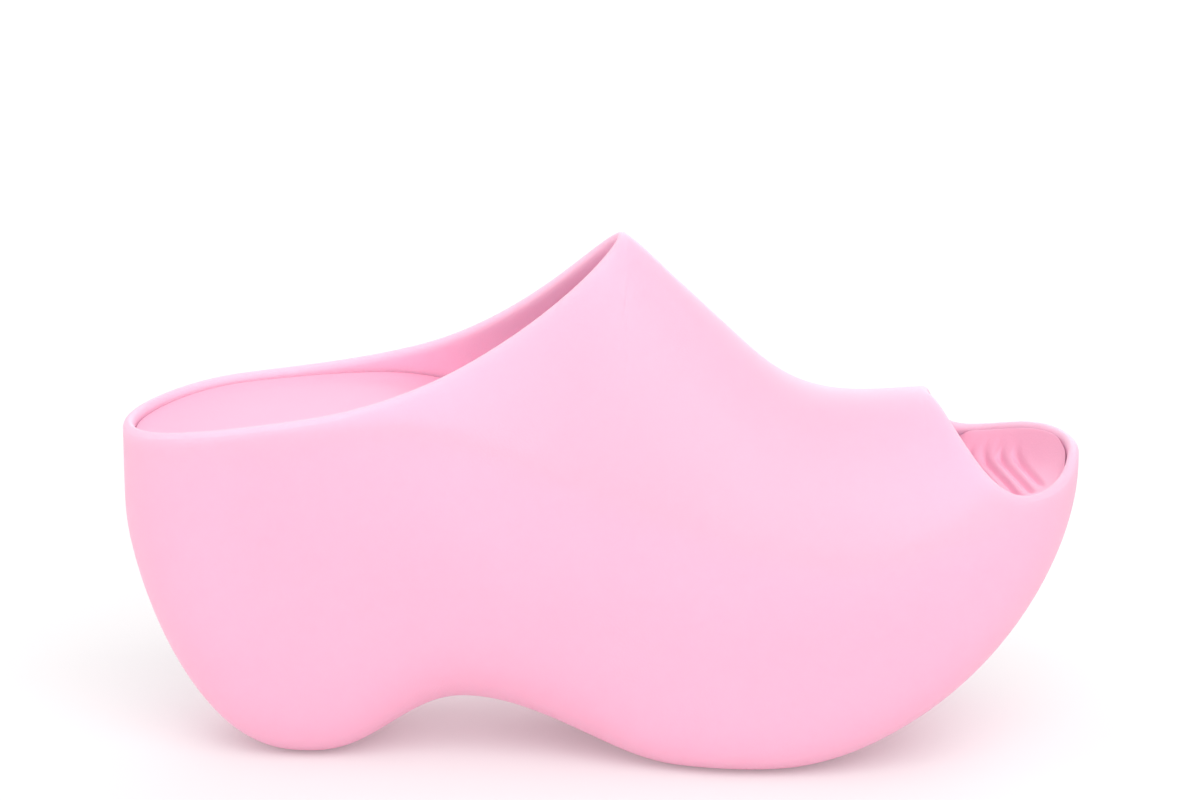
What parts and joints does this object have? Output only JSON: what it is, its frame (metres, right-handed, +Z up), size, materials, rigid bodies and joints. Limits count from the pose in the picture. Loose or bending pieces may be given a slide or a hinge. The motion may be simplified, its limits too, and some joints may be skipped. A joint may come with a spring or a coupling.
{
  "type": "open-toe clog mule",
  "caption": "Left clog mule moulded in pink foam: tall arched platform sole, heel seat almost level with its rim, pointed throat, open toe and ribbed insole.",
  "frame": {"origin": "on the floor under the centre of the bounding box", "axes": "+X towards the toe, +Z up, -Y towards the inner side of the foot"},
  "size_m": [0.271, 0.097, 0.1471],
  "materials": {
    "foam_body": "satin moulded foam",
    "foam_insole": "matte moulded foam"
  },
  "bodies": {
    "root": {"moulded_upper_and_sole": "foam_body", "insole": "foam_insole"}
  },
  "joints": []
}
